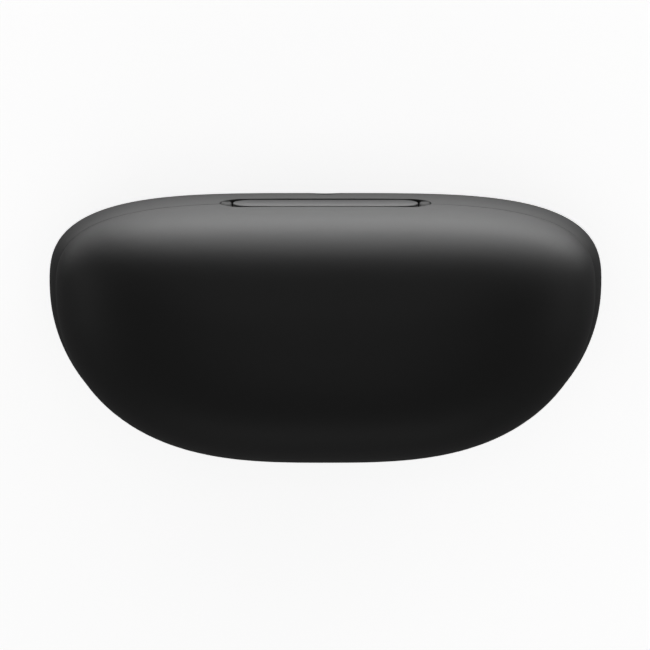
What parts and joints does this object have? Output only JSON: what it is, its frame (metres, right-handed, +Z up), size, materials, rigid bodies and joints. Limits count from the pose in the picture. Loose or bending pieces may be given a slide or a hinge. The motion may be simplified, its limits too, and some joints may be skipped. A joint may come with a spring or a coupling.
{
  "type": "wireless earbuds case",
  "caption": "Pebble-shaped wireless earbuds charging case with a hinged lid, pill-shaped rear hinge, sprung contacts, battery, board and USB-C socket.",
  "frame": {"origin": "on the surface that the case stands on, under the middle of its box", "axes": "+Z up, +X to the right, hinge at +Y, opening front at -Y"},
  "size_m": [0.066, 0.0312, 0.0335],
  "materials": {
    "shell": "satin black moulded polycarbonate, fine spark texture",
    "cradle": "matt black moulded ABS",
    "hinge_cover": "satin black coated zinc",
    "steel": "brushed stainless steel",
    "spring_steel": "drawn spring wire",
    "copper": "enamelled copper winding",
    "ferrite": "matt sintered ferrite film",
    "foam": "closed-cell foam tape",
    "battery_foil": "laminated foil pouch",
    "board": "green solder mask",
    "socket_steel": "stamped stainless shell",
    "dark_plastic": "black glass-filled nylon",
    "chip": "black epoxy moulding",
    "light_pipe": "clear moulded light pipe",
    "led": "clear epoxy LED",
    "flex": "amber polyimide",
    "magnet": "nickel-plated",
    "gold": "gold-plated",
    "silicone": "black silicone"
  },
  "bodies": {
    "base": {"base_shell": "shell", "cradle": "cradle", "hinge_bracket": "steel", "board_screws": "steel", "hinge_bracket_screws": "steel", "hinge_pin": "steel", "hinge_spring": "spring_steel", "charge_coil": "copper", "ferrite_sheet": "ferrite", "battery_foam": "foam", "battery": "battery_foil", "main_board": "board", "usb_socket_shell": "socket_steel", "usb_tongue": "dark_plastic", "board_chips": "chip", "tact_switch": "socket_steel", "light_pipe": "light_pipe", "status_led": "led", "led_board": "board", "contact_block_left": "dark_plastic", "contact_block_right": "dark_plastic", "flex_strip": "flex", "base_magnets": "magnet", "earbud_magnets": "magnet", "hall_sensor": "chip", "contact_spring_1": "spring_steel", "contact_spring_2": "spring_steel", "contact_spring_3": "spring_steel", "contact_spring_4": "spring_steel"},
    "lid": {"lid_shell": "shell", "lid_liner": "cradle", "hinge_plate": "hinge_cover", "hinge_plate_screws": "steel", "lid_magnets": "magnet", "sensor_magnet": "magnet", "lid_bumpers": "silicone"},
    "button": {"pairing_button": "shell"},
    "contact_1": {"contact_pin_1": "gold"},
    "contact_2": {"contact_pin_2": "gold"},
    "contact_3": {"contact_pin_3": "gold"},
    "contact_4": {"contact_pin_4": "gold"}
  },
  "joints": [
    {"name": "lid_hinge", "type": "hinge", "parent": "base", "child": "lid", "pos_m": [0, 0.01416, 0.0183], "axis": [-1, 0, 0], "range_deg": [0, 85]},
    {"name": "button_press", "type": "slide", "parent": "base", "child": "button", "axis": [0, -1, 0], "range_m": [0, 0.0003], "stiffness_N_per_m": 2500},
    {"name": "contact_press_1", "type": "slide", "parent": "base", "child": "contact_1", "axis": [0, 0, -1], "range_m": [0, 0.0006], "stiffness_N_per_m": 400, "deforming": ["contact_spring_1"]},
    {"name": "contact_press_2", "type": "slide", "parent": "base", "child": "contact_2", "axis": [0, 0, -1], "range_m": [0, 0.0006], "stiffness_N_per_m": 400, "deforming": ["contact_spring_2"]},
    {"name": "contact_press_3", "type": "slide", "parent": "base", "child": "contact_3", "axis": [0, 0, -1], "range_m": [0, 0.0006], "stiffness_N_per_m": 400, "deforming": ["contact_spring_3"]},
    {"name": "contact_press_4", "type": "slide", "parent": "base", "child": "contact_4", "axis": [0, 0, -1], "range_m": [0, 0.0006], "stiffness_N_per_m": 400, "deforming": ["contact_spring_4"]}
  ]
}
